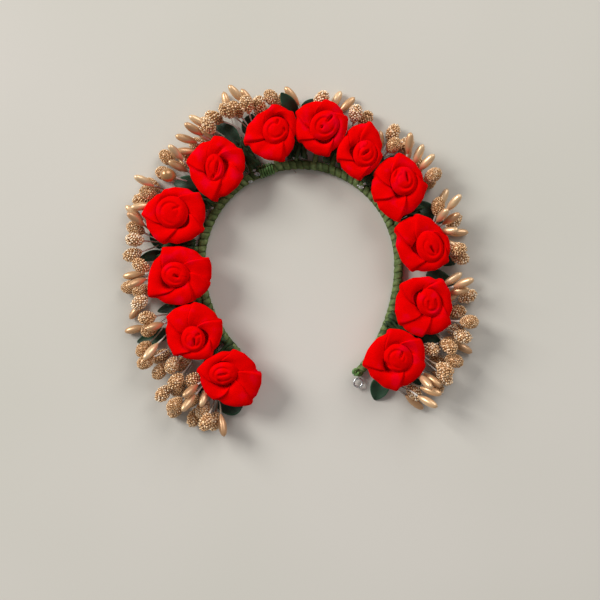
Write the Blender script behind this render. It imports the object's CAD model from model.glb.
import math
import random

import bmesh
import bpy
from mathutils import Matrix, Vector, noise
from mathutils.bvhtree import BVHTree


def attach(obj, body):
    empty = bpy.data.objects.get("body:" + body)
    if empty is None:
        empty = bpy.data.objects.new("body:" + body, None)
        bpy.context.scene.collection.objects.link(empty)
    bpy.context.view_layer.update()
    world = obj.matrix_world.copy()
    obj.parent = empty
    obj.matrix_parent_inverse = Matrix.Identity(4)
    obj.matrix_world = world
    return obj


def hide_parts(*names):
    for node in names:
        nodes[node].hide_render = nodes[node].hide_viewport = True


# Floral bun brooch, seen from straight above. Metres, +Z up. The origin is on the surface, below
# the middle of the bun opening.
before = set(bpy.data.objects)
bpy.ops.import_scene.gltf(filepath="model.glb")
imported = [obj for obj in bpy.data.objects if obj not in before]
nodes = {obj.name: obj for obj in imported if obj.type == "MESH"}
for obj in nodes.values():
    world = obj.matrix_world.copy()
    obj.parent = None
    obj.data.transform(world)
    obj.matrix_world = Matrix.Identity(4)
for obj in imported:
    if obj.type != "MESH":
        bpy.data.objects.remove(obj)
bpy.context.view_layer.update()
mm = 0.001
print("frame loaded,", len(nodes), "nodes")


# Camera and stage
view = {
    "pixelSize": 0.42 * mm,          # one photo pixel at the height of the flowers
    "imagePixels": 600,
    "ringPixel": (298, 263),         # where the origin is in the photo
    "flowerHeight": 9 * mm,
    "cameraHeight": 450 * mm,        # above the flowers
    "sensor": 36,
}


def addCamera():
    camera = bpy.data.objects.new("camera", bpy.data.cameras.new("camera"))
    bpy.context.scene.collection.objects.link(camera)
    middle = view["imagePixels"] / 2
    camera.location = (
        (middle - view["ringPixel"][0]) * view["pixelSize"],
        (view["ringPixel"][1] - middle) * view["pixelSize"],
        view["flowerHeight"] + view["cameraHeight"],
    )
    halfWidth = middle * view["pixelSize"]
    camera.data.sensor_width = view["sensor"]
    camera.data.lens = view["sensor"] / 2 * view["cameraHeight"] / halfWidth
    camera.data.clip_start = 10 * mm
    bpy.context.scene.camera = camera


addCamera()

lights = {
    # name: place, size, strength in watts, colour
    "windowLight": ((-2.0, 1.2, 1.5), 1.2, 72, (1.0, 0.99, 0.955)),
    "roomLight": ((1.0, 1.6, 1.45), 1.5, 27, (1.0, 0.97, 0.95)),
    "world": (0.25, (1.0, 0.985, 0.97)),
}


def addLights():
    for name in ("windowLight", "roomLight"):
        place, size, strength, colour = lights[name]
        lamp = bpy.data.objects.new(name, bpy.data.lights.new(name, "AREA"))
        lamp.data.size = size
        lamp.data.energy = strength
        lamp.data.color = colour
        lamp.location = place
        lamp.rotation_euler = Vector(place).to_track_quat("Z", "Y").to_euler()
        bpy.context.scene.collection.objects.link(lamp)
    world = bpy.data.worlds.new("world")
    world.use_nodes = True
    strength, colour = lights["world"]
    world.node_tree.nodes["Background"].inputs["Color"].default_value = (*colour, 1)
    world.node_tree.nodes["Background"].inputs["Strength"].default_value = strength
    bpy.context.scene.world = world
    bpy.context.scene.view_settings.view_transform = "Standard"


addLights()
print("camera and lights set")


# Shader maths: an expression on links adds its Math nodes
class Link:
    def __init__(self, finish, socket):
        self.finish = finish
        self.socket = socket

    def maths(self, operation, first, second):
        return self.finish.add("ShaderNodeMath", {"operation": operation}, {0: first, 1: second})

    def __add__(self, other):
        return self.maths("ADD", self, other)

    def __mul__(self, other):
        return self.maths("MULTIPLY", self, other)

    __radd__ = __add__
    __rmul__ = __mul__


class Finish:
    def __init__(self, name, **constants):
        self.material = bpy.data.materials.new(name)
        self.material.use_nodes = True
        self.tree = self.material.node_tree
        self.shader = self.tree.nodes["Principled BSDF"]
        for label, value in constants.items():
            self.shader.inputs[label.replace("_", " ")].default_value = value

    def add(self, kind, settings=None, sockets=None, output=0):
        made = self.tree.nodes.new(kind)
        for key, value in (settings or {}).items():
            if key == "stops":
                self.setStops(made.color_ramp, value)
            else:
                setattr(made, key, value)
        for key, value in (sockets or {}).items():
            self.feed(made.inputs[key], value)
        return Link(self, made.outputs[output])

    def setStops(self, ramp, stops):
        while len(ramp.elements) < len(stops):
            ramp.elements.new(1.0)
        for element, (place, colour) in zip(ramp.elements, stops):
            element.position = place
            element.color = (*colour, 1)

    def feed(self, socket, value):
        if isinstance(value, Link):
            self.tree.links.new(value.socket, socket)
        elif isinstance(value, tuple) and len(value) == 3 and socket.type == "RGBA":
            socket.default_value = (*value, 1)
        else:
            socket.default_value = value

    def set(self, label, value):
        self.feed(self.shader.inputs[label], value)

    def place(self):
        return self.add("ShaderNodeTexCoord", output="Object")

    def noise(self, scale, detail=3, roughness=0.5):
        sockets = {"Vector": self.place(), "Scale": scale, "Detail": detail, "Roughness": roughness}
        return self.add("ShaderNodeTexNoise", None, sockets)

    def attribute(self, name):
        return self.add("ShaderNodeAttribute", {"attribute_name": name}, output="Fac")

    def ramp(self, value, stops):
        return self.add("ShaderNodeValToRGB", {"stops": stops}, {0: value})

    def blend(self, share, first, second):
        sockets = {0: share, 6: first, 7: second}
        return self.add("ShaderNodeMix", {"data_type": "RGBA"}, sockets, output=2)

    def bump(self, height, distance, strength):
        sockets = {"Height": height, "Distance": distance, "Strength": strength}
        self.set("Normal", self.add("ShaderNodeBump", None, sockets))


# Finishes
def velvetFinish():
    velvet = Finish(
        "redVelvet", Roughness=0.95, Specular_IOR_Level=0.02,
        Sheen_Weight=0.42, Sheen_Roughness=0.35, Sheen_Tint=(1.0, 0.0, 0.03, 1),
    )
    patch = velvet.noise(160, 2)
    pile = velvet.noise(2600, 2, 0.7)
    colour = velvet.ramp(patch, [
        (0.3, (0.64, 0.0, 0.0)), (0.55, (0.76, 0.0, 0.0)), (0.75, (0.78, 0.0, 0.02))])
    hairs = velvet.ramp(pile, [(0.35, (0.5, 0.0, 0.0)), (0.6, (0.88, 0.0, 0.0))])
    velvet.set("Base Color", velvet.blend(0.35, colour, hairs))
    velvet.bump(pile, 0.12 * mm, 0.5)
    return velvet.material


def satinFinish():
    satin = Finish("greenSatin", Roughness=0.5, Specular_IOR_Level=0.3)
    along = satin.attribute("along")
    across = satin.attribute("across")
    vein = satin.add("ShaderNodeMath", {"operation": "SINE"}, {0: across * 26 + along * 40})
    patch = satin.noise(220, 3)
    colour = satin.ramp(patch, [(0.3, (0.008, 0.028, 0.014)), (0.7, (0.022, 0.06, 0.03))])
    edge = satin.add("ShaderNodeMath", {"operation": "GREATER_THAN"}, {0: across, 1: 0.86})
    colour = satin.blend(edge * 0.5, colour, (0.02, 0.11, 0.05))
    satin.set("Base Color", colour)
    satin.bump(vein * 0.5 + patch, 0.05 * mm, 0.6)
    return satin.material


def tapeFinish():
    tape = Finish("greenTape", Roughness=0.7, Specular_IOR_Level=0.2)
    patch = tape.noise(420, 4, 0.65)
    crinkle = tape.noise(1800, 3, 0.6)
    colour = tape.ramp(patch, [
        (0.3, (0.065, 0.095, 0.03)), (0.5, (0.13, 0.19, 0.06)), (0.72, (0.25, 0.34, 0.14))])
    colour = tape.blend(tape.attribute("groove"), colour, (0.012, 0.028, 0.006))
    tape.set("Base Color", colour)
    tape.set("Roughness", 0.55 + patch * 0.25)
    tape.bump(crinkle, 0.1 * mm, 0.7)
    return tape.material


def stemFinish():
    stem = Finish("greenStem", Roughness=0.6, Specular_IOR_Level=0.25)
    patch = stem.noise(500, 3)
    stem.set("Base Color", stem.ramp(patch, [
        (0.3, (0.012, 0.03, 0.012)), (0.6, (0.035, 0.07, 0.025)), (0.8, (0.08, 0.14, 0.07))]))
    stem.bump(patch, 0.1 * mm, 0.6)
    return stem.material


def coilFinish():
    coil = Finish("greenCoil", Roughness=0.4, Specular_IOR_Level=0.4)
    patch = coil.noise(700, 3)
    coil.set("Base Color", coil.ramp(patch, [
        (0.3, (0.05, 0.13, 0.03)), (0.6, (0.14, 0.3, 0.08)), (0.8, (0.3, 0.5, 0.2))]))
    return coil.material


def pearlFinish():
    pearl = Finish(
        "goldPearl", Metallic=0.45, Coat_Weight=0.35, Coat_Roughness=0.16, Specular_IOR_Level=0.6)
    tone = pearl.attribute("tone")
    patch = pearl.noise(700, 3)
    gold = pearl.ramp(tone, [
        (0.0, (0.46, 0.23, 0.1)), (0.45, (0.66, 0.4, 0.19)), (1.0, (0.86, 0.62, 0.36))])
    gold = pearl.blend(patch * 0.35, gold, (0.74, 0.42, 0.27))
    pearl.set("Base Color", gold)
    pearl.set("Roughness", 0.3 + patch * 0.14)
    pearl.bump(patch, 0.04 * mm, 0.4)
    return pearl.material


def grainFinish():
    grain = Finish(
        "goldGrain", Metallic=0.4, Specular_IOR_Level=0.7, Coat_Weight=0.3, Coat_Roughness=0.15)
    tone = grain.attribute("tone")
    grain.set("Base Color", grain.ramp(tone, [
        (0.0, (0.16, 0.05, 0.018)), (0.35, (0.58, 0.31, 0.12)),
        (0.7, (0.86, 0.58, 0.32)), (1.0, (1.0, 0.88, 0.7))]))
    grain.set("Roughness", 0.24 + tone * 0.14)
    return grain.material


def threadFinish():
    thread = Finish("whiteThread", Roughness=0.75, Sheen_Weight=0.2)
    strand = thread.noise(2400, 2)
    patch = thread.noise(110, 1)
    colour = thread.ramp(patch, [
        (0.42, (0.2, 0.12, 0.07)), (0.56, (0.72, 0.68, 0.62)), (0.7, (0.8, 0.8, 0.78))])
    thread.set("Base Color", thread.blend(strand * 0.5, colour, (0.45, 0.4, 0.33)))
    thread.bump(strand, 0.05 * mm, 0.5)
    return thread.material


def wireFinish():
    wire = Finish("silverWire", Metallic=1.0)
    drawn = wire.noise(1500, 3)
    wire.set("Base Color", wire.ramp(drawn, [(0.3, (0.5, 0.5, 0.52)), (0.7, (0.78, 0.78, 0.78))]))
    wire.set("Roughness", 0.22 + drawn * 0.14)
    return wire.material


def glueFinish():
    glue = Finish("clearGlue", Roughness=0.12, Specular_IOR_Level=0.7, Coat_Weight=0.6)
    cloud = glue.noise(900, 2)
    glue.set("Base Color", glue.ramp(cloud, [(0.3, (0.3, 0.36, 0.33)), (0.7, (0.7, 0.74, 0.74))]))
    glue.set("Alpha", 0.25 + cloud * 0.4)
    return glue.material


def floorFinish():
    floor = Finish("paleFloor", Roughness=0.9, Specular_IOR_Level=0.1)
    cloud = floor.noise(5, 2)
    floor.set("Base Color", floor.ramp(cloud, [
        (0.35, (0.6, 0.585, 0.53)), (0.65, (0.64, 0.615, 0.57))]))
    floor.bump(floor.noise(900, 3), 0.05 * mm, 0.3)
    return floor.material


velvet = velvetFinish()
satin = satinFinish()
tape = tapeFinish()
pearl = pearlFinish()
grain = grainFinish()
thread = threadFinish()
wire = wireFinish()
glue = glueFinish()
stemGreen = stemFinish()
coilGreen = coilFinish()


# Helpers for modelling
def deselect():
    for item in list(bpy.context.selected_objects):
        item.select_set(False)


def pick(*items):
    deselect()
    for item in items:
        item.select_set(True)
    bpy.context.view_layer.objects.active = items[0]


def closeSeams(piece):
    pick(piece)
    bpy.ops.object.mode_set(mode="EDIT")
    bpy.ops.mesh.select_all(action="SELECT")
    bpy.ops.mesh.remove_doubles(threshold=0.01 * mm)
    bpy.ops.mesh.normals_make_consistent(inside=False)
    bpy.ops.object.mode_set(mode="OBJECT")


def shapedGrid(name, around, along, placeAt, marks=None):
    # a grid whose points are moved to placeAt(share around, share along), with its own marks
    deselect()
    bpy.ops.mesh.primitive_grid_add(x_subdivisions=around, y_subdivisions=along, size=1)
    piece = bpy.context.object
    piece.name = name
    shares = [(point.co.x + 0.5, point.co.y + 0.5) for point in piece.data.vertices]
    for label, valueAt in (marks or {}).items():
        mark = piece.data.attributes.new(label, "FLOAT", "POINT")
        mark.data.foreach_set("value", [valueAt(*pair) for pair in shares])
    for point, pair in zip(piece.data.vertices, shares):
        point.co = placeAt(*pair)
    return piece


def smooth(piece, levels=0):
    pick(piece)
    if levels:
        finer = piece.modifiers.new("finer", "SUBSURF")
        finer.levels = finer.render_levels = levels
        bpy.ops.object.modifier_apply(modifier=finer.name)
    bpy.ops.object.shade_smooth()


def join(name, pieces):
    pick(*pieces)
    if len(pieces) > 1:
        bpy.ops.object.join()
    piece = bpy.context.object
    piece.name = piece.data.name = name
    return piece


def dress(piece, finish, slot, *replaced):
    piece.data.materials.clear()
    piece.data.materials.append(finish)
    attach(piece, "root")
    if replaced:
        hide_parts(*replaced)


def mergedCopy(node):
    body = bmesh.new()
    body.from_mesh(nodes[node].data)
    bmesh.ops.remove_doubles(body, verts=body.verts, dist=0.001 * mm)
    return body


def centreOf(points):
    return sum(points, Vector()) / len(points)


def looseSolids(node):
    # the points of each loose solid of a CAD node, in the order of their places
    body = mergedCopy(node)
    body.verts.index_update()
    left = set(body.verts)
    solids = []
    while left:
        found, edge = set(), [left.pop()]
        while edge:
            point = edge.pop()
            found.add(point)
            for line in point.link_edges:
                other = line.other_vert(point)
                if other in left:
                    left.discard(other)
                    edge.append(other)
        solids.append([Vector(point.co) for point in sorted(found, key=lambda point: point.index)])
    body.free()
    return sorted(solids, key=lambda points: tuple(round(x, 5) for x in centreOf(points)))


def numbered(word):
    # the nodes called word_1, word_2 and so on, each with its number
    found = [(int(node.rsplit("_", 1)[1]), node) for node in nodes if node.startswith(word)]
    return sorted(found)


def mix(first, second, share):
    return first + (second - first) * share


def onBearing(distance, bearing, height=0.0):
    turn = math.radians(bearing)
    return Vector((distance * math.cos(turn), distance * math.sin(turn), height))


# Roses
rose = {
    # share of the way from the heart to the outline, and height in mm: from the heart over the
    # lip, down the outside and back inside
    "lip": [
        (0.0, 8.6), (0.06, 10.3), (0.3, 11.1), (0.62, 10.9), (0.86, 10.3), (0.98, 9.5), (1.03, 8.6),
        (1.0, 7.2), (0.86, 4.8), (0.55, 2.6), (0.0, 1.0), (-0.3, 3.0), (-0.12, 6.2),
    ],
    "sections": 20,
    "lap": 6,                # degrees that a petal runs on past its corners
    "swirl": 38,             # degrees that a crease turns on its way from the outline to the heart
    "climb": 1.2 * mm,       # a petal's end lies on the start of the next
    "wave": 0.45 * mm,
    "inside": 5 * mm,        # a petal waves and climbs above this height
    "endHeight": 5.5,        # height in mm to which a petal closes at both ends
    "endRound": 11,          # the more, the shorter are the rounded ends
    "lipHeight": 9.2 * mm,   # height at which the outline is read
    "grow": 0.7 * mm,        # the rounded lip stands past the solid's facets
    "tuck": -0.5 * mm,       # the petals start below the heart's edge
    "open": 1.9 * mm,        # width of the dark crescent beside the heart
}
heart = {
    "crest": 12.5 * mm, "rim": 11.3 * mm, "foot": 3 * mm,
    "drop": 1.1 * mm,        # the dome rounds off at its edge
    "dome": 0.8,             # share of the mesh that is the dome, and where its side ends
    "side": 0.13, "closing": 0.935,
    "crease": 0.55 * mm,     # depth and half width of the faint fold that winds round the heart
    "step": 0.25 * mm,       # height of the cloth outside the fold
    "wave": 0.5 * mm,
    "slit": 0.5 * mm,        # half width of a slit
}
# each heart's offset x and y in mm, radius in mm, turn, stretch along the turn, and bearing of its
# dark crescent, then the bearings of the petals' corners
roseShapes = {
    1: ((-2.4, 2.0), 5.4, 10, 1.3, 250, (5, 80, 166, 234, 308)),
    2: ((0.0, -2.8), 5.2, 100, 1.1, 345, (22, 88, 150, 230, 307)),
    3: ((-1.4, 1.0), 5.6, 350, 1.15, 218, (-15, 31, 120, 213, 300)),
    4: ((-0.8, 1.4), 6.8, 320, 1.05, 325, (-28, 43, 112, 176, 248)),
    5: ((0.2, -0.6), 4.8, 95, 1.5, 20, (32, 92, 172, 269, 340)),
    6: ((2.2, 0.6), 5.6, 60, 1.1, 60, (-20, 42, 86, 200, 292)),
    7: ((1.6, 1.0), 6.2, 45, 1.15, 285, (22, 80, 146, 208, 285)),
    8: ((1.6, -2.2), 5.4, 80, 1.15, 180, (-15, 70, 125, 203, 268)),
    9: ((1.8, 2.0), 5.8, 100, 1.1, 265, (3, 90, 150, 208, 268)),
    10: ((3.0, -0.6), 6.2, 110, 1.25, 195, (-32, 20, 98, 148, 248)),
    11: ((1.8, 1.2), 5.6, 110, 1.2, 135, (-35, 55, 138, 215, 265)),
    12: ((1.2, 1.2), 6.0, 320, 1.1, 225, (-10, 38, 98, 188, 275)),
}
# slits in the folded velvet: x and y from the rose's centre in mm, direction, half length in mm,
# depth in mm
slits = {
    1: [(-2.4, 1.6, 10, 1.9, 1.2), (-3.4, -1.4, 330, 1.2, 0.9)],
    2: [(0.7, -4.0, 88, 1.5, 2.2), (2.3, -1.0, 30, 1.0, 1.0)],
    3: [(-0.7, 0.2, 340, 1.1, 2.6), (5.0, 3.4, 130, 1.1, 1.4)],
    4: [(1.5, 3.0, 20, 1.6, 0.7)],
    5: [(1.4, -0.8, 80, 2.4, 1.6), (1.7, 6.1, 85, 1.4, 2.0), (-0.2, -4.6, 60, 0.9, 1.4)],
    6: [(3.2, 3.8, 80, 1.1, 1.3), (6.0, 0.4, 120, 0.9, 1.0)],
    7: [(3.8, 3.5, 48, 1.7, 2.4), (0.6, 0.0, 60, 0.7, 1.6), (-6.0, 2.6, 100, 0.8, 1.0)],
    8: [(1.7, -2.1, 35, 1.7, 2.4), (-0.6, 2.6, 95, 3.0, 0.8)],
    9: [(3.1, 3.3, 100, 2.0, 2.2), (-1.3, 5.0, 70, 2.0, 1.3)],
    10: [(3.9, -2.0, 305, 1.6, 2.2)],
    11: [(-1.6, 6.0, 60, 0.8, 2.4), (4.4, 1.0, 100, 1.6, 0.9), (1.4, 0.6, 100, 1.4, 0.7)],
    12: [(2.5, 2.5, 70, 1.4, 1.2), (-3.4, -1.4, 320, 2.0, 1.8)],
}


def slitDepth(number, point):
    drop = 0.0
    for x, y, bearing, half, deep in slits[number]:
        run = onBearing(1, bearing)
        away = Vector((point.x - x * mm, point.y - y * mm, 0))
        along = away.dot(run) / (half * mm)
        across = (away.x * run.y - away.y * run.x) / heart["slit"]
        drop += deep * mm * math.exp(-along ** 4 - across ** 2)
    return drop


def roseSeat(body):
    # centre and upward direction of a rose, from its flat underside
    middles = {face: face.calc_center_median() for face in body.faces}
    low = min(middle.z for middle in middles.values()) + 1.6 * mm
    down = [face for face, middle in middles.items() if face.normal.z < -0.97 and middle.z < low]
    area = sum(face.calc_area() for face in down)
    up = -sum((face.normal * face.calc_area() for face in down), Vector()) / area
    centre = sum((middles[face] * face.calc_area() for face in down), Vector()) / area
    return centre, up.normalized()


def roseOutline(body, centre, turned):
    # how far the outline reaches on each bearing, read from the solid
    tree = BVHTree.FromBMesh(body)
    far = 30 * mm
    reaches = []
    for bearing in range(360):
        out = turned @ onBearing(1, bearing)
        start = centre + turned @ Vector((0, 0, rose["lipHeight"])) + out * far
        hit = tree.ray_cast(start, -out)
        reaches.append(far - hit[3] if hit[0] else 10 * mm)
    soft = []
    for bearing in range(360):
        near = [reaches[(bearing + step) % 360] for step in (-2, 0, 2)]
        soft.append(sum(near) / len(near))
    return lambda b: mix(soft[int(b) % 360], soft[(int(b) + 1) % 360], b - math.floor(b))


def heartEdge(offset, radius, bearing):
    # distance from the rose's centre to the edge of its heart
    out = onBearing(1, bearing)
    along = offset.dot(out)
    return along + math.sqrt(max(0.0, radius * radius - offset.length_squared + along * along))


def addPetal(number, index, start, end, outline, offset, radius, crescent):
    profile = rose["lip"]
    count = len(profile)

    def placeAt(around, along):
        share, height = profile[round(around * count) % count]
        bearing = mix(start - rose["lap"], end + rose["lap"], along)
        bearing += rose["swirl"] * (1 - max(0.0, share))
        beside = max(0.0, math.cos(math.radians(bearing - crescent))) ** 5
        inner = heartEdge(offset, radius, bearing) + rose["tuck"] + rose["open"] * beside
        reach = max(outline(bearing % 360) + rose["grow"], inner + 2 * mm)
        edge = min(1.0, min(along, 1 - along) * rose["endRound"])
        full = math.sqrt(max(0.0, 1 - (1 - edge) ** 2))
        height = mix(rose["endHeight"], height, full) * mm
        if height > rose["inside"]:
            height += rose["climb"] * (along - 0.6)
        out = inner + (reach - inner) * share * mix(0.97, 1.0, min(1.0, along * 3))
        if share > 0.2 and height > rose["inside"]:
            ripple = noise.noise(Vector((bearing / 22, share * 2, number * 7.0 + index)))
            height += ripple * rose["wave"]
            out += ripple * rose["wave"] * 0.7
        point = onBearing(max(0.8 * mm, out), bearing, height)
        if height > 9 * mm:
            point.z -= slitDepth(number, point)
        return point

    petal = shapedGrid(f"petal{number}_{index}", count, rose["sections"], placeAt)
    closeSeams(petal)
    smooth(petal, 1)
    return petal


def domeHeight(number, radius, around, share):
    # height of the heart's dome, with the faint fold that winds out over nine tenths of a turn
    height = mix(heart["crest"], heart["rim"], share ** 2) - heart["drop"] * share ** 12
    winding = radius * (0.42 + 0.34 * around)
    faint = math.sin(math.pi * min(1.0, around * 1.1)) ** 0.5 if around < 0.9 else 0.0
    fold = (radius * share - winding) / heart["crease"]
    height -= heart["crease"] * faint * math.exp(-fold * fold)
    height += heart["step"] * faint / (1 + math.exp(-fold * 2)) * (1 - share ** 4)
    patch = noise.noise(Vector((share * 2, 360 * around / 70, number * 3.0)))
    return height + patch * heart["wave"] * share * (1 - share ** 6)


def addHeart(number, offset, radius, turn, stretch):
    squeeze = math.sqrt(stretch)
    turned = Matrix.Rotation(math.radians(turn), 3, "Z")

    def placeAt(around, along):
        # over the dome to the rim, down the side, and closed below
        share = min(1.0, along / heart["dome"])
        height = domeHeight(number, radius, around, share)
        out = radius * share
        if along > heart["dome"]:
            down = min(1.0, (along - heart["dome"]) / heart["side"])
            height = mix(height, heart["foot"], down)
            out = radius * (1 - 0.12 * down)
        if along > heart["closing"]:
            out *= max(0.0, 1 - (along - 0.93) / 0.07)
        point = onBearing(out, 360 * around, height)
        point = offset + turned @ Vector((point.x * squeeze, point.y / squeeze, point.z))
        if along < heart["dome"]:
            point.z -= slitDepth(number, point)
        return point

    piece = shapedGrid(f"heart{number}", 72, 30, placeAt)
    closeSeams(piece)
    smooth(piece)
    return piece


def addPlug(number, offset, radius):
    # cloth below the heart, so that no light comes through
    deselect()
    bpy.ops.mesh.primitive_cone_add(
        vertices=24, radius1=radius * 0.7, radius2=radius * 1.15, depth=6 * mm,
        location=(offset.x, offset.y, 4 * mm))
    plug = bpy.context.object
    plug.data.transform(plug.matrix_basis)
    plug.matrix_basis = Matrix.Identity(4)
    smooth(plug)
    return plug


def buildRose(number):
    node = f"rose_{number}"
    body = mergedCopy(node)
    centre, up = roseSeat(body)
    turned = Vector((0, 0, 1)).rotation_difference(up).to_matrix()
    outline = roseOutline(body, centre, turned)
    body.free()
    shift, radius, turn, stretch, crescent, corners = roseShapes[number]
    offset = Vector((shift[0] * mm, shift[1] * mm, 0))
    radius *= mm
    parts = [addHeart(number, offset, radius, turn, stretch), addPlug(number, offset, radius)]
    for index, start in enumerate(corners):
        end = corners[index + 1] if index + 1 < len(corners) else corners[0] + 360
        parts.append(addPetal(number, index, start, end, outline, offset, radius, crescent))
    piece = join(f"velvet_rose_{number}", parts)
    piece.data.transform(Matrix.Translation(centre) @ turned.to_4x4())
    dress(piece, velvet, "red_velvet", node)


for number in roseShapes:
    buildRose(number)
print("roses made")


# Leaves
leaf = {
    "along": 16, "across": 8, "thick": 0.35 * mm, "wave": 0.5 * mm,
    "fold": 1.0 * mm,        # rise of the edges above the rib
    "sink": 0.4 * mm,        # the middle of its thickness, below the solid's top
}


def buildLeaf(points, name, seed):
    middle = centreOf(points)
    ends = max(((a, b) for a in points for b in points), key=lambda pair: (pair[0] - pair[1]).length)
    tip, stalk = sorted(ends, key=lambda p: -Vector((p.x, p.y)).length)
    run = tip - stalk
    side = Vector((-run.y, run.x, 0)).normalized()
    wide = max(abs((p - middle).dot(side)) for p in points)
    lift = middle - (tip + stalk) / 2

    def placeAt(acrossShare, alongShare):
        q = acrossShare * 2 - 1
        bulge = math.sin(math.pi * min(1.0, alongShare * 0.96 + 0.04) ** 0.85) ** 0.75
        half = wide * (0.05 + 0.95 * bulge)
        ripple = noise.noise(Vector((alongShare * 3.1, q * 1.2, seed * 5.0))) * leaf["wave"]
        arch = lift.z * 1.5 * math.sin(math.pi * alongShare)
        fold = abs(q) ** 1.2 * leaf["fold"] * half / wide
        rise = Vector((0, 0, arch + fold + ripple * abs(q) - leaf["sink"]))
        return stalk + run * alongShare + side * half * q + rise

    marks = {
        "along": lambda across, along: along,
        "across": lambda across, along: abs(across * 2 - 1),
    }
    piece = shapedGrid(name, leaf["across"], leaf["along"], placeAt, marks)
    wall = piece.modifiers.new("wall", "SOLIDIFY")
    wall.thickness = leaf["thick"]
    wall.offset = 0
    pick(piece)
    bpy.ops.object.modifier_apply(modifier=wall.name)
    smooth(piece, 1)
    return piece


def buildLeaves():
    for number, node in numbered("leaf_pair"):
        parts = [
            buildLeaf(points, f"leaf{number}_{index}", number * 2 + index)
            for index, points in enumerate(looseSolids(node))
        ]
        dress(join(f"satin_leaves_{number}", parts), satin, "green_satin", node)


buildLeaves()
print("leaves made")


# Stamens: each loose solid of a bunch gives the axis of one stamen
stamen = {
    "dropLong": 10.5 * mm, "dropAcross": 3.5 * mm,
    "sugarLong": 7.8 * mm, "sugarAcross": 5.8 * mm,
    "stemAcross": 0.7 * mm,
    "bend": 0.4 * mm,
    "root": 3.6 * mm,            # the thread runs on this far past the solid's end
    "around": 16, "along": 14,
    "fullest": 0.46,             # share of a head's length from its tip to where it is widest
    "dropTaper": 0.9, "sugarTaper": 0.6,
}
# grains of each coat, by its letter: c coarse, f fine, b a bare bulb
grains = {
    "c": {"radius": 0.5 * mm, "tone": 0.64, "core": 0.2},
    "f": {"radius": 0.33 * mm, "tone": 0.56, "core": 0.2},
    "b": {"radius": 0.0, "core": 0.26},
}
# coats of the heads of each sugared bunch, in the order of their solids
coats = {
    1: "fccc", 2: "cff", 3: "fcc", 4: "cc", 5: "ffc", 6: "ccccc", 7: "fcc", 8: "ffbc", 9: "cff",
    10: "cfc", 11: "fcfc", 12: "fcf", 13: "ffcf", 14: "cfcf", 15: "fffcc", 16: "fcc", 17: "cc",
    18: "ccccff", 19: "ccccfcf",
}


def stamenAxis(points):
    # head's tip, direction from the root to the tip, and whole length
    middle = centreOf(points)
    arms = [point - middle for point in points]
    out = max(arms, key=lambda arm: arm.length).normalized()
    for _ in range(6):
        out = sum((arm * arm.dot(out) for arm in arms), Vector()).normalized()
    places = [(arm.dot(out), (arm - out * arm.dot(out)).length) for arm in arms]
    low, high = min(places)[0], max(places)[0]
    fullest = max(places, key=lambda place: place[1])[0]
    if high - fullest > fullest - low:
        out, low, high = -out, -high, -low
    return middle + out * high, out, high - low


def onAxis(tip, out, back, radius, turn):
    side = out.orthogonal().normalized()
    other = out.cross(side)
    return tip - out * back + (side * math.cos(turn) + other * math.sin(turn)) * radius


def headRadius(share, across, taper):
    # share runs from the blunt tip, 0, to the stem, 1
    full = stamen["fullest"]
    if share < full:
        return across / 2 * math.sqrt(max(0.0, 1 - ((full - share) / full) ** 2.1))
    return across / 2 * math.cos(math.pi / 2 * (share - full) / (1 - full)) ** taper


def addThread(tip, out, headLong, whole, name, bend):
    # a thread from inside its head, where it is thickest, to the root of the bunch
    length = whole - headLong + stamen["root"]
    side = Vector((-out.y, out.x, 0)).normalized()

    def placeAt(around, along):
        thick = stamen["stemAcross"] / 2 * mix(1.35, 0.8, min(1.0, along * 2))
        back = headLong * 0.93 + length * along
        sway = side * math.sin(along * math.pi) * bend
        return onAxis(tip, out, back, thick, around * 2 * math.pi) + sway

    piece = shapedGrid(name, 7, 6, placeAt)
    closeSeams(piece)
    pick(piece)
    bpy.ops.object.mode_set(mode="EDIT")
    bpy.ops.mesh.select_all(action="DESELECT")
    bpy.ops.mesh.select_non_manifold()
    bpy.ops.mesh.edge_face_add()
    bpy.ops.object.mode_set(mode="OBJECT")
    smooth(piece)
    return piece


def setTone(piece, tone):
    mark = piece.data.attributes.new("tone", "FLOAT", "POINT")
    mark.data.foreach_set("value", [tone] * len(piece.data.vertices))


def buildDrops():
    draw = random.Random(5)
    threads = []
    for number, node in numbered("gold_drops"):
        parts = []
        for index, points in enumerate(looseSolids(node)):
            tip, out, whole = stamenAxis(points)

            def placeAt(around, along, tip=tip, out=out):
                radius = headRadius(along, stamen["dropAcross"], stamen["dropTaper"])
                radius = max(radius, stamen["stemAcross"] / 2 * (along > 0.9))
                return onAxis(tip, out, stamen["dropLong"] * along, radius, around * 2 * math.pi)

            drop = shapedGrid(f"drop{number}_{index}", stamen["around"], stamen["along"], placeAt)
            closeSeams(drop)
            smooth(drop)
            setTone(drop, draw.uniform(0.2, 1.0))
            parts.append(drop)
            bend = draw.uniform(-1, 1) * stamen["bend"]
            name = f"dropThread{number}_{index}"
            threads.append(addThread(tip, out, stamen["dropLong"], whole, name, bend))
        dress(join(f"pearl_drops_{number}", parts), pearl, "gold_pearl", node)
    return threads


def grainMesh():
    # points and faces of one grain of radius 1
    deselect()
    bpy.ops.mesh.primitive_ico_sphere_add(subdivisions=1, radius=1)
    ball = bpy.context.object
    points = [Vector(point.co) for point in ball.data.vertices]
    faces = [tuple(face.vertices) for face in ball.data.polygons]
    bpy.data.objects.remove(ball)
    return points, faces


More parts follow.
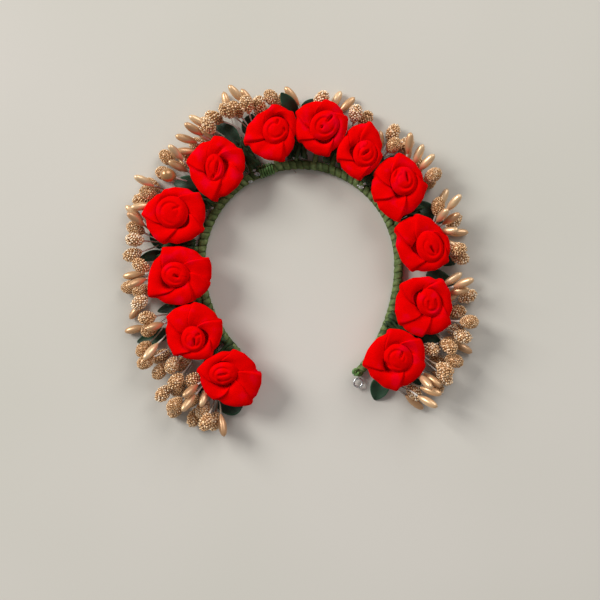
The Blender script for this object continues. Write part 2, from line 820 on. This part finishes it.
def coatPoints(tip, out, long, across, spacing, draw):
    # grains set round the head on a golden spiral, from its tip to its stem
    count = round(2.55 * across * long / spacing ** 2)
    found = []
    for step in range(count):
        share = (step + 0.5) / count
        turn = step * math.pi * (3 - math.sqrt(5)) + draw.uniform(-0.5, 0.5) * spacing / across
        bulge = headRadius(share, across, stamen["sugarTaper"]) + draw.uniform(-0.14, 0.12) * spacing
        back = long * share + draw.uniform(-0.25, 0.25) * spacing
        found.append(onAxis(tip, out, back, bulge, turn))
    return found


def addCore(tip, out, coat, name):
    # the smooth head below its grains
    size = coat["radius"]

    def placeAt(around, along):
        radius = headRadius(along, stamen["sugarAcross"], stamen["sugarTaper"])
        back = mix(size, stamen["sugarLong"] - size, along)
        return onAxis(tip, out, back, max(0.0, radius - size * 0.9), around * 2 * math.pi)

    core = shapedGrid(name, 20, 16, placeAt)
    closeSeams(core)
    smooth(core)
    setTone(core, coat["core"])
    return core


def buildSugar():
    draw = random.Random(8)
    ballPoints, ballFaces = grainMesh()
    threads = []
    for number, node in numbered("gold_sugar"):
        points, faces, tones, cores = [], [], [], []
        for index, solid in enumerate(looseSolids(node)):
            tip, out, whole = stamenAxis(solid)
            coat = grains[coats[number][index]]
            size = coat["radius"]
            warmth = draw.uniform(-0.12, 0.12)
            cores.append(addCore(tip, out, coat, f"core{number}_{index}"))
            bend = draw.uniform(-1, 1) * stamen["bend"]
            name = f"sugarThread{number}_{index}"
            threads.append(addThread(tip, out, stamen["sugarLong"], whole, name, bend))
            if not size:
                continue
            across = stamen["sugarAcross"] - size * 1.3
            for centre in coatPoints(tip, out, stamen["sugarLong"], across, size * 1.95, draw):
                first = len(points)
                grown = size * draw.uniform(0.86, 1.08)
                points += [centre + point * grown for point in ballPoints]
                faces += [tuple(first + corner for corner in face) for face in ballFaces]
                tone = coat["tone"] + warmth + draw.uniform(-0.22, 0.3)
                tones += [min(1.0, max(0.05, tone))] * len(ballPoints)
        mesh = bpy.data.meshes.new(f"grains{number}")
        mesh.from_pydata(points, [], faces)
        mark = mesh.attributes.new("tone", "FLOAT", "POINT")
        mark.data.foreach_set("value", tones)
        coating = bpy.data.objects.new(mesh.name, mesh)
        bpy.context.scene.collection.objects.link(coating)
        smooth(coating)
        dress(join(f"sugared_heads_{number}", [coating] + cores), grain, "gold_sugar", node)
    return threads


threads = buildDrops()
print("drops made")
threads += buildSugar()
dress(join("stamen_threads", threads), thread, "gold_pearl")
print("sugared heads made")


# Hoop: the tape is wound over the solid hoop along its three arcs
hoop = {
    "radius": 1.7 * mm, "height": 1.95 * mm,
    # each arc's centre x in mm, radius in mm, first bearing and sweep, from the right end
    "arcs": [(-29.1, 72, -40, 40), (0.7, 42.2, 0, 180), (12.5, 54, 180, 44)],
    "pitch": 2.9 * mm, "thick": 0.42 * mm, "perTurn": 20, "sink": 0.1 * mm,
    # across the tape: share of the pitch, height over the wire as a share of its thickness
    "section": [(0.0, -0.1), (0.08, 0.75), (0.3, 1.0), (0.7, 0.72), (1.12, 0.3), (1.12, -0.3)],
}


def hoopPoint(distance):
    # point and direction on the hoop's wire, by the distance from its right end
    for centre, radius, first, sweep in hoop["arcs"]:
        length = math.radians(sweep) * radius * mm
        if distance <= length or centre == hoop["arcs"][-1][0]:
            bearing = first + math.degrees(distance / (radius * mm))
            point = Vector((centre * mm, 0, hoop["height"])) + onBearing(radius * mm, bearing)
            return point, onBearing(1, bearing + 90)
        distance -= length


def hoopLength():
    return sum(math.radians(sweep) * radius * mm for _, radius, _, sweep in hoop["arcs"])


def windTape():
    length = hoopLength()
    turns = round(length / hoop["pitch"])
    section = hoop["section"]
    count = len(section)
    up = Vector((0, 0, 1))

    def placeAt(around, along):
        share, rise = section[round(around * count) % count]
        turned = along * turns
        distance = (turned + share) * hoop["pitch"] * (turns - 1) / turns
        point, out = hoopPoint(max(0.0, min(length, distance)))
        wobble = noise.noise(Vector((turned * 2.3, share * 3, 1.0)))
        radius = hoop["radius"] - hoop["sink"] + rise * hoop["thick"] * (1 + 0.5 * wobble)
        turn = turned * 2 * math.pi
        return point + (up.cross(out) * math.cos(turn) + up * math.sin(turn)) * radius

    def groove(around, along):
        share, rise = section[round(around * count) % count]
        patch = noise.noise(Vector((along * turns * 1.7, share, 5.0)))
        return max(0.0, min(1.0, 0.92 - rise * 0.95 + patch * 0.7))

    winding = shapedGrid("winding", count, turns * hoop["perTurn"], placeAt, {"groove": groove})
    closeSeams(winding)
    smooth(winding)
    dress(join("tape_winding", [winding]), tape, "green_tape")


windTape()
nodes["taped_hoop"].data.materials.clear()
nodes["taped_hoop"].data.materials.append(tape)
for node in ("right_eye", "left_eye"):
    nodes[node].data.materials.clear()
    nodes[node].data.materials.append(wire)
print("hoop wound")


# Stems, coil, glue and thread that show between the roses
tied = {
    "perGap": 10, "spread": 4.6 * mm, "thick": (0.6 * mm, 1.05 * mm),
    "height": (2.6 * mm, 6.2 * mm), "sway": 0.7 * mm,
    "inner": 44 * mm, "outer": 60 * mm, "ragged": 5 * mm,
    "coilBearing": 110, "coilTurns": 6,
    "coilLong": 6.6 * mm, "coilRadius": 2.4 * mm, "coilThick": 0.4 * mm,
    # blobs of glue: height, shares of the radius each way, then x, y and radius in mm
    "glueHeight": 4.4 * mm, "glueShape": Vector((1.3, 0.8, 0.5)),
    "glue": [
        (-23.1, 49.6, 0.9), (-17.2, 37.8, 1.0), (-20.2, 34.6, 0.8), (-1.4, 44.7, 0.7), (1.8, 44.7, 0.7),
        (26.9, 32.3, 0.9), (28.4, 33.8, 0.6), (40.6, -23.4, 0.7), (-36.5, 23.5, 0.6), (38.4, 20.6, 0.6),
        (-18.6, 39.4, 0.6), (-22.0, 47.6, 0.7), (0.2, 45.2, 0.4), (25.6, 33.0, 0.5), (40.2, -21.6, 0.5),
    ],
    # curled end of tape: middle in mm
    "curl": (24.6, -46.1, 4.0), "curlRadius": 1.15 * mm, "curlThick": 0.6 * mm,
    # loose thread: start, bend and end in mm
    "thread": ((-4.4, 41.2, 3.4), (-2.2, 40.6, 2.2), (-0.6, 38.6, 0.5)), "threadThick": 0.14 * mm,
}


def tube(name, path, radius, steps, around=8):
    # a closed round strand along path(share)
    def placeAt(aroundShare, along):
        here = path(along)
        run = (path(min(1.0, along + 0.01)) - path(max(0.0, along - 0.01))).normalized()
        side = run.orthogonal().normalized()
        turn = aroundShare * 2 * math.pi
        full = radius * math.sqrt(max(0.0, 1 - (abs(along * 2 - 1)) ** 24))
        return here + (side * math.cos(turn) + run.cross(side) * math.sin(turn)) * full

    strand = shapedGrid(name, around, steps, placeAt)
    closeSeams(strand)
    smooth(strand)
    return strand


def roseBearings():
    bearings = []
    for number in roseShapes:
        body = mergedCopy(f"rose_{number}")
        centre = roseSeat(body)[0]
        body.free()
        bearings.append(math.degrees(math.atan2(centre.y, centre.x)) % 360)
    return bearings


def buildTied():
    # strands from the hoop outwards, in each gap between two roses
    draw = random.Random(21)
    bearings = roseBearings()
    strands = []
    for number in range(len(bearings) - 1):
        middle = (bearings[number] + bearings[number + 1]) / 2
        out = onBearing(1, middle)
        side = Vector((-out.y, out.x, 0))
        for index in range(tied["perGap"]):
            first = draw.uniform(-1, 1) * tied["spread"]
            last = draw.uniform(-1, 1) * tied["spread"]
            low, high = draw.uniform(*tied["height"]), draw.uniform(*tied["height"])
            far = tied["outer"] - draw.uniform(0, 1) * tied["ragged"]

            def path(share, first=first, last=last, low=low, high=high, far=far):
                sway = math.sin(share * math.pi * 1.5 + low * 4000) * tied["sway"]
                place = out * mix(tied["inner"], far, share)
                place += side * (mix(first, last, share) + sway)
                return place + Vector((0, 0, mix(low, high, share)))

            strands.append(tube(f"strand{number}_{index}", path, draw.uniform(*tied["thick"]), 10))
    dress(join("tied_stems", strands), stemGreen, "green_tape")


def buildCoil():
    # tape wound loosely round the top of the hoop
    centre, radius = hoop["arcs"][1][:2]
    at = onBearing(radius * mm, tied["coilBearing"]) + Vector((centre * mm, 0, hoop["height"]))
    out = onBearing(1, tied["coilBearing"])
    run = onBearing(1, tied["coilBearing"] + 90)

    def path(share):
        turn = share * tied["coilTurns"] * 2 * math.pi
        ring = out * math.cos(turn) + Vector((0, 0, 1)) * math.sin(turn)
        point = at + run * (share - 0.5) * tied["coilLong"] + ring * tied["coilRadius"]
        point.z = max(point.z, tied["coilThick"])    # flattened where it lies on the surface
        return point

    coil = tube("green_coil", path, tied["coilThick"], tied["coilTurns"] * 16)
    dress(coil, coilGreen, "green_tape")


def buildCurl():
    # the tape's end stands curled up at the right knot
    at = Vector(tied["curl"]) * mm

    def path(share):
        rise = math.sin(share * math.pi) * 0.5 * mm
        return at + onBearing(tied["curlRadius"], 40 + 330 * share, rise)

    dress(tube("curled_tape", path, tied["curlThick"], 24), coilGreen, "green_tape")


def buildGlue():
    blobs = []
    for x, y, radius in tied["glue"]:
        bpy.ops.mesh.primitive_uv_sphere_add(segments=16, ring_count=10, radius=1)
        blob = bpy.context.object
        middle = Vector((x * mm, y * mm, tied["glueHeight"]))
        size = tied["glueShape"] * radius * mm
        for point in blob.data.vertices:
            lumps = 1 + 0.5 * noise.noise(point.co * 1.6 + Vector((x, y, 0)))
            point.co = middle + point.co * size * lumps
        blob.matrix_basis = Matrix.Identity(4)
        smooth(blob)
        blobs.append(blob)
    dress(join("glue_blobs", blobs), glue, None)


def buildThread():
    start, bend, end = (Vector(place) * mm for place in tied["thread"])

    def path(share):
        return mix(mix(start, bend, share), mix(bend, end, share), share)

    dress(tube("loose_thread", path, tied["threadThick"], 12, 6), thread, "gold_pearl")


buildTied()
buildCoil()
buildCurl()
buildGlue()
buildThread()
print("ties made")


# Floor
def addFloor():
    deselect()
    bpy.ops.mesh.primitive_plane_add(size=3)
    floor = bpy.context.object
    floor.name = "floor"
    floor.data.materials.append(floorFinish())


addFloor()

print("sizes written")
